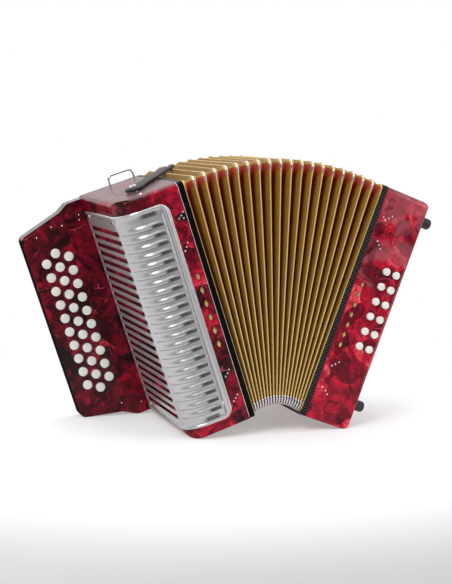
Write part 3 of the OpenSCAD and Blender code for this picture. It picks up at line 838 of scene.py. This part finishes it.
def build_grille():
    front = [0, 1.0, 1.9, 2.9, 3.9, 4.9, 5.8, 6.4, 7.0, 7.6, 8.4, 9.2, 10.4, 11.6]
    front += [12.6 + (FRONT_LENGTH - 13.2) * k / 18 for k in range(19)]
    bend = [FRONT_LENGTH + BEND_LENGTH * k / 36 for k in range(37)]
    side_start = FRONT_LENGTH + BEND_LENGTH * 0.86
    flat_start = FRONT_LENGTH + BEND_LENGTH + 1.5
    side_stop = FRONT_LENGTH + BEND_LENGTH + SIDE_LENGTH - 9
    side = [flat_start + (side_stop - flat_start) * k / 16 for k in range(17)]
    side += [side_stop + 3, side_stop + 6, side_stop + 9]
    lengths = front + bend + side
    fractions = [0.0, 0.15, 0.3, 0.38, 0.46, 0.54, 0.62, 0.7, 0.76, 0.81, 0.85, 0.88, 0.9, 0.91, 0.99]
    edge_rows = (0, 0.8, 1.6, 2.4, 3.4, 4.6, 6.4, 8.4, 10.6)
    heights = [(GRILLE_HIGH - z, None) for z in edge_rows]
    top = GRILLE_HIGH - BAND_MARGIN
    for i in range(BANDS):
        for f in fractions:
            heights.append((top - (i + f) * BAND, f))
    heights.append((top - BANDS * BAND, None))
    heights += [(GRILLE_LOW + z, None) for z in reversed(edge_rows)]
    shape = Shape()
    rows = []
    shades = []
    for z, f in heights:
        start = edge_start(z)
        edge = min(z - GRILLE_LOW, GRILLE_HIGH - z)
        row = []
        for length in lengths:
            at = length
            if length < RIM_IN:
                at = start + (RIM_IN - start) * length / RIM_IN
            x, y, nx, ny = plan_point(at)
            lift = sheet_lift(f, length, at, edge)
            row.append((x + nx * lift, y + ny * lift, z))
            shades.append(louvre_shade(f, at, edge))
        rows.append(row)

    slit_rows = set()
    side_rows = set()
    for i in range(BANDS):
        base = len(edge_rows) + i * len(fractions)
        slit_rows.add(base + len(fractions) - 2)
        side_rows.update(range(base + 4, base + len(fractions) - 1))

    def keep(i, j):
        middle = (lengths[j] + lengths[j + 1]) / 2
        if i in slit_rows and 11 < middle < LIP_TO - 2:
            return False
        return not (i in side_rows and side_start < middle < side_stop)

    shape.grid(rows, keep=keep)
    obj = shape.piece("grille_sheet", TREBLE, [grille_metal], 40.0)
    add_layer(obj, "louvre_shade", shades)
    add_sheet(obj, 0.8, -1.0)
    return obj


grille = build_grille()
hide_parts("treble_grille")
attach(grille, "treble")


def build_grille_bead():
    """Rolled bright edge round the grille: along its top, down its inner edge and along its foot."""
    end = FRONT_LENGTH + BEND_LENGTH + SIDE_LENGTH - 0.5
    line = [(end - (end - CORNER_R) * k / 39, GRILLE_HIGH) for k in range(40)]
    for k in range(1, 9):
        a = math.pi / 2 * k / 8
        line.append((CORNER_R - CORNER_R * math.sin(a), GRILLE_HIGH - CORNER_R + CORNER_R * math.cos(a)))
    for k in range(1, 30):
        line.append((0, GRILLE_HIGH - CORNER_R - (GRILLE_HIGH - GRILLE_LOW - 2 * CORNER_R) * k / 30))
    for k in range(9):
        a = math.pi / 2 * k / 8
        line.append((CORNER_R - CORNER_R * math.cos(a), GRILLE_LOW + CORNER_R - CORNER_R * math.sin(a)))
    line += [(CORNER_R + (end - CORNER_R) * k / 39, GRILLE_LOW) for k in range(1, 40)]
    path = []
    for length, z in line:
        x, y, nx, ny = plan_point(length)
        path.append((x + nx * 0.1, y + ny * 0.1, z))
    shape = Shape()
    shape.tube(path, 0.95, 8)
    return shape.piece("grille_bead", TREBLE, [border_metal], 60.0)


bead = build_grille_bead()
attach(bead, "treble")


# ---------------------------------------------------------------- trim
def casing_path(x):
    """Path over a casing at a distance x: up its front, over the rounded crest and along its top."""
    crest = 7.0
    proud = 0.15
    front = -HALF_D - proud
    path = [(x, front, z) for z in (3, 60, 120, 180, 240, CASING_H - crest)]
    for k in range(1, 7):
        a = math.pi / 2 * k / 6
        y = -HALF_D + crest - (crest + proud) * math.cos(a)
        path.append((x, y, CASING_H - crest + (crest + proud) * math.sin(a)))
    top = CASING_H + proud
    path += [(x, y, top) for y in (-50, 0, 50, HALF_D - 3)]
    return path


for body, place, line in (("treble", TREBLE, silver_line), ("bass", BASS, red_line)):
    piping = Shape()
    piping.tube(casing_path(FRAME_OUT + 0.4), 0.36, 8)
    piping = piping.piece(body + "_piping", place, [line], 60.0)
    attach(piping, body)


def stone_material():
    s = Shader("stone_clear")
    at = s.coords()
    facet = s.cells(at, 1500)
    colour = s.mix(0.25, (0.9, 0.9, 0.93, 1), facet)
    return s.finish(colour=colour, metallic=0.85, roughness=0.08, normal=s.bump(s.split(facet)[0], 0.6, 0.15))


def groove_material():
    s = Shader("engraved_line")
    at = s.coords()
    worn = s.noise(at, 400, 3)
    colour = s.mix(s.step(worn, 0.3, 0.7), (0.006, 0.0005, 0.001, 1), (0.025, 0.003, 0.005, 1))
    return s.finish(colour=colour, roughness=0.7, normal=s.bump(worn, 0.2, 0.1), specular=0.05)


stone = stone_material()
groove = groove_material()


FACE_Y = -HALF_D


def wave_path(x, z, length, swing, turn, line):
    """One of four wavy lines that run side by side and spread a little."""
    path = []
    for k in range(19):
        t = k / 18
        u = (t - 0.5) * length
        spread = (line - 1.5) * 2.3 * (0.75 + 0.35 * t)
        v = swing * math.sin(2 * math.pi * (1.4 * t + 0.06 * line)) + spread
        along = x + u * math.cos(turn) - v * math.sin(turn)
        path.append((along, FACE_Y + 0.02, z + u * math.sin(turn) + v * math.cos(turn)))
    return path


def decorate(name, place, body, stones, waves, lozenges):
    """Stones (x, z), wavy lines (x, z, length, swing, turn) and lozenges (x, z, width, height)."""
    shape = Shape()
    for x, z in stones:
        shape.dome((x, FACE_Y + 0.05, z), (0, -1, 0), 1.15, 0.25, 2, 10, 1)
        shape.dome((x, FACE_Y - 0.1, z), (0, -1, 0), 0.85, 0.6, 2, 8, 0)
    for wave in waves:
        for line in range(4):
            shape.tube(wave_path(*wave, line), lambda t: 0.26 + 0.12 * math.sin(math.pi * t), 6, 2, flat=0.6)
    for x, z, w, h in lozenges:
        for grow, lift, kind in ((0.7, 0.12, 3), (0.0, 0.3, 4)):
            ring = []
            for k in range(24):
                a = 2 * math.pi * k / 24
                c, sn = math.cos(a), math.sin(a)
                reach = 1 / (abs(c) + abs(sn)) ** 0.85
                ring.append((x + (w / 2 + grow) * c * reach, FACE_Y - lift, z + (h / 2 + grow) * sn * reach))
            base = [(px, FACE_Y + 0.3, pz) for px, _, pz in ring]
            shape.grid([base, ring], closed_u=True, kind=kind)
            shape.fan(ring, centre=(x, FACE_Y - lift * 1.6, z), kind=kind)
    obj = shape.piece(name, place, [stone, chrome, groove, black, gold], 40.0)
    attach(obj, body)


decorate(
    "treble_ornament", TREBLE, "treble",
    [(43.6, 273.5), (47.2, 270.2), (50.6, 267.4), (45.0, 266.0), (49.4, 236.5), (52.3, 232.0), (55.4, 227.8),
     (47.5, 70.0), (50.6, 66.0), (54.4, 63.0), (46.8, 36.0), (50.2, 32.6), (53.8, 29.8)],
    [(49.5, 252, 24, 1.3, 1.5), (50, 219, 20, 1.3, 1.62), (50, 84, 18, 1.3, 1.5), (49.5, 50, 20, 1.2, 1.6)],
    [(50.0, 193.0 - 17.6 * k, 5.2, 9.0) for k in range(6)],
)
decorate(
    "bass_ornament", BASS, "bass",
    [(47.5, 270.5), (51.0, 267.8), (55.0, 271.8), (58.8, 275.6), (51.0, 239.5), (54.6, 235.5), (58.4, 231.6),
     (51.3, 71.5), (54.9, 75.0), (58.9, 79.0), (48.8, 42.6), (54.8, 39.4), (58.8, 35.6)],
    [(51, 287, 20, 1.4, 1.35), (50, 254, 22, 1.3, 1.5), (50.5, 216, 24, 1.4, 1.6), (51, 92, 24, 1.4, 1.6),
     (51, 57, 18, 1.2, 1.5)],
    [(52.0, 181.0 - 13.4 * k, 4.6, 7.6) for k in range(7)],
)


def build_pins():
    """Small bright pins in the fingerboard and the stud on the casing's top."""
    shape = Shape()
    for x, z in ((130, 288), (131.5, 282), (155.6, 282), (169.5, 285), (192, 278), (155, 32), (129, 23.5)):
        shape.dome((x, BOARD_FACE + 0.05, z), (0, -1, 0), 1.0, 0.45, 3, 12)
    shape.dome((84, -84, CASING_H - 0.05), (0, 0, 1), 2.2, 1.3, 4, 16)
    return shape.piece("treble_pins", TREBLE, [chrome], 40.0)


pins = build_pins()
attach(pins, "treble")


# ---------------------------------------------------------------- straps
def strap_section(width, thick):
    """Closed cross-section (across, up) of a leather strap with rounded edges, from z = 0 to thick."""
    r = thick / 2
    sides = 6
    points = []
    for k in range(sides + 1):
        a = -math.pi / 2 + math.pi * k / sides
        points.append((width / 2 - r + r * math.cos(a), r + r * math.sin(a)))
    for k in range(1, 6):
        points.append((width / 2 - r - (width - 2 * r) * k / 6, thick + 0.12 * math.sin(math.pi * k / 6)))
    for k in range(sides + 1):
        a = math.pi / 2 + math.pi * k / sides
        points.append((-width / 2 + r + r * math.cos(a), r + r * math.sin(a)))
    for k in range(1, 6):
        points.append((-width / 2 + r + (width - 2 * r) * k / 6, 0.0))
    return points


STRAP_X, STRAP_Y = 80.0, -44.0
STRAP_LEN, STRAP_W, STRAP_T, STRAP_END_R = 112.0, 18.0, 4.4, 11.0
STRAP_BASE = CASING_H + 1.2
STRAP_TURN = math.radians(180 - 49)
STITCHES = 34


def strap_point(along, across, up):
    c, s = math.cos(STRAP_TURN), math.sin(STRAP_TURN)
    return (STRAP_X + along * c - across * s, STRAP_Y + along * s + across * c, STRAP_BASE + up)


def strap_half_width(along):
    """Half the strap's width: a bulb round the screw, then straight."""
    return STRAP_W / 2 + (STRAP_END_R - STRAP_W / 2) * (1 - smooth(along / 22))


def strap_eye_line(along, eye, radius):
    """How far the strap's inner edge is from its middle line, where it runs round an eyelet."""
    return math.sqrt(max(radius ** 2 - (along - eye) ** 2, 0.0))


def strap_ring(inset, up):
    """Outline of the strap at a height, set in from its widest line."""
    ring = []
    half = STRAP_W / 2
    for k in range(25):
        a = -math.pi / 2 + math.pi * k / 24
        ring.append((STRAP_LEN + (half - inset) * math.cos(a), (half - inset) * math.sin(a), up))
    for k in range(1, 20):
        along = STRAP_LEN * (1 - k / 20)
        ring.append((along, strap_half_width(along) - inset, up))
    for k in range(25):
        a = math.pi / 2 + math.pi * k / 24
        ring.append(((STRAP_END_R - inset) * math.cos(a), (STRAP_END_R - inset) * math.sin(a), up))
    for k in range(1, 20):
        along = STRAP_LEN * k / 20
        ring.append((along, inset - strap_half_width(along), up))
    return ring


def build_bellows_strap():
    """Closing strap with a hole for its screw at one end and an eyelet at the other."""
    shape = Shape()
    eyes = ((0.0, 2.35), (STRAP_LEN, 4.2))
    ring = [2 * math.pi * k / 32 for k in range(32)]
    profile = ((1.6, 0.0), (0.7, 0.35), (0.15, 1.1), (0.0, 2.1), (0.15, 3.1), (0.75, 3.95), (1.8, STRAP_T))
    layers = [strap_ring(inset, up) for inset, up in profile]
    shape.grid([[strap_point(*p) for p in layer] for layer in layers], closed_u=True)
    for layer in (layers[0], layers[-1]):
        inner = []
        for along, across, up in layer:
            eye, radius = eyes[along > STRAP_LEN / 2]
            if along <= 0 or along >= STRAP_LEN:
                d = math.hypot(along - eye, across)
                inner.append((eye + (along - eye) / d * radius, across / d * radius, up))
            else:
                crown = 1.5 * smooth(along / 16) * smooth((STRAP_LEN - along) / 14) if up else 0.0
                inner.append((along, math.copysign(strap_eye_line(along, eye, radius), across), up + crown))
        shape.grid([[strap_point(*p) for p in layer], [strap_point(*p) for p in inner]], closed_u=True)
    for eye, radius in eyes:
        shape.grid([
            [strap_point(eye + radius * math.cos(a), radius * math.sin(a), up) for a in ring]
            for up in (0.0, STRAP_T)
        ], closed_u=True)
    eyelet = [strap_point(STRAP_LEN + 4.4 * math.cos(a), 4.4 * math.sin(a), STRAP_T) for a in ring]
    shape.tube(eyelet, 0.8, 8, 1, closed=True)
    for side in (-1, 1):
        for k in range(STITCHES):
            along = 2 + (STRAP_LEN - 4) * k / (STITCHES - 1)
            across = side * (strap_half_width(along) - 3.4)
            bow = ((-1.05, 0.02), (0, 0.22), (1.05, 0.02))
            shape.tube([strap_point(along + step, across, STRAP_T + up) for step, up in bow], 0.25, 5, 2)
    return shape.piece("bellows_strap_leather", TREBLE, [strap_black, chrome, thread], 40.0)


def thread_material():
    s = Shader("thread")
    at = s.coords()
    twist = s.noise(at, 1800, 2)
    return s.finish(colour=s.mix(twist, (0.02, 0.02, 0.02, 1), (0.07, 0.066, 0.06, 1)), roughness=0.6,
                    normal=s.bump(twist, 0.4, 0.1))


thread = thread_material()
bellows_strap = build_bellows_strap()
outward(bellows_strap)
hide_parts("bellows_strap")
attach(bellows_strap, "bellows_strap")

HAND_Y = 14.0
HAND_W, HAND_RISE, HAND_T = 50.0, 34.0, 3.0
HAND_LOW, HAND_HIGH, HAND_TAB = 34.0, 276.0, 14.0
PLATE_FACE = BASS_OUT - 1.2


def hand_line():
    """Points (rise, z, normal rise, normal z) along the underside of the hand strap."""
    mid, half = (HAND_LOW + HAND_HIGH) / 2, (HAND_HIGH - HAND_LOW) / 2
    points = []
    for k in range(61):
        t = k / 60
        z = HAND_LOW - HAND_TAB + (2 * (half + HAND_TAB)) * t
        d = abs(z - mid) / half
        rise = HAND_RISE - HAND_T
        u = max(0.0, 1 - d)
        rise *= smooth(min(1.0, u * 1.35)) * 0.35 + 0.65 * max(0.0, 1 - min(1, d) ** 2)
        points.append((rise, z))
    out = []
    for k, (rise, z) in enumerate(points):
        a, b = points[max(k - 1, 0)], points[min(k + 1, len(points) - 1)]
        tx, tz = b[0] - a[0], b[1] - a[1]
        size = math.hypot(tx, tz)
        out.append((rise, z, tz / size, -tx / size))
    return out


def hand_width(t):
    """The hand strap's width: narrow at its two ends."""
    return HAND_W * (0.62 + 0.38 * smooth(min(t, 1 - t) * 4.5))


def build_hand_strap():
    """Bowed strap with a row of stitches along each edge and two rivets at each end."""
    shape = Shape()
    line = hand_line()
    base = PLATE_FACE + 0.3
    rows = []
    for k, (rise, z, nx, nz) in enumerate(line):
        section = strap_section(hand_width(k / (len(line) - 1)), HAND_T)
        rows.append([(base + rise + nx * up, HAND_Y + across, z + nz * up) for across, up in section])
    shape.grid(rows, closed_u=True)
    shape.fan(list(reversed(rows[0])))
    shape.fan(rows[-1])
    for side in (-1, 1):
        for k in range(3, len(line) - 3):
            rise, z, nx, nz = line[k]
            next_rise, next_z = line[k + 1][:2]
            y = HAND_Y + side * (hand_width(k / (len(line) - 1)) / 2 - 3)
            up = HAND_T + 0.1
            start = (base + rise + nx * up, y, z + nz * up)
            stop = (base + rise + (next_rise - rise) * 0.6 + nx * up, y, z + (next_z - z) * 0.6 + nz * up)
            shape.tube([start, stop], 0.32, 5, 2)
    for z in (HAND_LOW - HAND_TAB + 7, HAND_HIGH + HAND_TAB - 7):
        for dy in (-9, 9):
            shape.dome((base + HAND_T, HAND_Y + dy, z), (1, 0, 0), 3.4, 1.3, 4, 18, 1)
    return shape.piece("hand_strap_leather", BASS, [strap_black, chrome, thread], 40.0)


hand_strap = build_hand_strap()
outward(hand_strap)
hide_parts("hand_strap")
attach(hand_strap, "bass")


# ---------------------------------------------------------------- stage, lights and camera
def floor_material():
    """Pale floor that fades into a glowing white, which glows more behind the instrument than in front of it.
    """
    s = Shader("studio_floor")
    at = s.coords()
    tone = s.noise(at, 6, 3)
    near = s.node("ShaderNodeBsdfPrincipled", {
        "Base Color": s.mix(tone, (0.9, 0.9, 0.9, 1), (0.93, 0.93, 0.93, 1)), "Roughness": 0.7,
        "Normal": s.bump(s.noise(at, 400, 2), 0.03, 0.1), "Specular IOR Level": 0.15,
    }).outputs[0]
    level = s.step(s.split(at)[1], -1.2, 0.1, 0.42, 1.0)
    far = s.node("ShaderNodeEmission", {"Color": (1, 1, 1, 1), "Strength": level}).outputs[0]
    distance = s.node("ShaderNodeVectorMath", {0: at}, operation="LENGTH").outputs["Value"]
    fade = s.step(distance, 0.28, 0.62, 0.35, 1.0)
    return s.output(s.node("ShaderNodeMixShader", {0: fade, 1: near, 2: far}).outputs[0])


FLOOR_Z = -0.0002
turns = [2 * math.pi * k / 64 for k in range(64)]
rings = [[(r * math.cos(a), r * math.sin(a), FLOOR_Z) for a in turns] for r in (0.4, 1.5, 6, 40)]
floor = Shape()
floor.grid(rings, closed_u=True)
floor.fan(rings[0], centre=(0, 0, FLOOR_Z))
floor.piece("studio_floor", None, [floor_material()], 0)


def build_sky():
    """White behind the instrument and above it, dim in front."""
    s = Shader("studio", world=True)
    parts = s.split(s.node("ShaderNodeTexCoord").outputs["Generated"])
    behind = s.node("ShaderNodeMapRange", {"Value": parts[1], "From Min": -0.35, "From Max": 0.25}).outputs[0]
    above = s.node("ShaderNodeMapRange", {"Value": parts[2], "From Min": 0.35, "From Max": 0.8}).outputs[0]
    lit = s.math("MAXIMUM", behind, above)
    level = s.node("ShaderNodeMapRange", {"Value": lit, "To Min": 0.16, "To Max": 1.0}).outputs[0]
    shine = s.node("ShaderNodeBackground", {"Color": (1, 1, 1, 1), "Strength": level})
    s.node("ShaderNodeOutputWorld", {"Surface": shine.outputs[0]})
    return s.owner


bpy.context.scene.world = build_sky()


def area_light(name, place, target, size, power):
    data = bpy.data.lights.new(name, "AREA")
    data.shape = "RECTANGLE"
    data.size = size
    data.size_y = size
    data.energy = power
    obj = bpy.data.objects.new(name, data)
    bpy.context.scene.collection.objects.link(obj)
    obj.location = place
    obj.rotation_mode = "QUATERNION"
    obj.rotation_quaternion = (Vector(target) - Vector(place)).to_track_quat("-Z", "Y")


area_light("key", (-1.3, -1.2, 1.5), (0, 0, 0.16), 0.9, 24)
area_light("fill", (1.5, -1.3, 0.9), (0, 0, 0.16), 1.2, 12)
area_light("top", (0.1, 0.2, 1.9), (0, 0, 0.1), 1.4, 14)

camera_data = bpy.data.cameras.new("camera")
camera_data.lens = 80.5
camera_data.sensor_width = 36.0
camera_data.shift_x = -0.00223
camera_data.shift_y = 0.00147
camera_data.clip_start = 0.05
camera_data.clip_end = 100
camera = bpy.data.objects.new("camera", camera_data)
bpy.context.scene.collection.objects.link(camera)
azimuth, elevation, roll = math.radians(-20.0), math.radians(7.2), math.radians(0.4)
level = math.cos(elevation)
back = Vector((math.sin(azimuth) * level, -math.cos(azimuth) * level, math.sin(elevation)))
right = Vector((math.cos(azimuth), math.sin(azimuth), 0))
up = right.cross(-back)
side = right * math.cos(roll) + up * math.sin(roll)
rise = up * math.cos(roll) - right * math.sin(roll)
turn = Matrix((side, rise, back)).transposed()
camera.matrix_world = Matrix.Translation(PIVOT + Vector((-0.6088, -1.5783, 0.3431))) @ turn.to_4x4()
bpy.context.scene.camera = camera

scene = bpy.context.scene
scene.view_settings.view_transform = "Standard"
scene.view_settings.look = "None"
scene.view_settings.exposure = 0.0
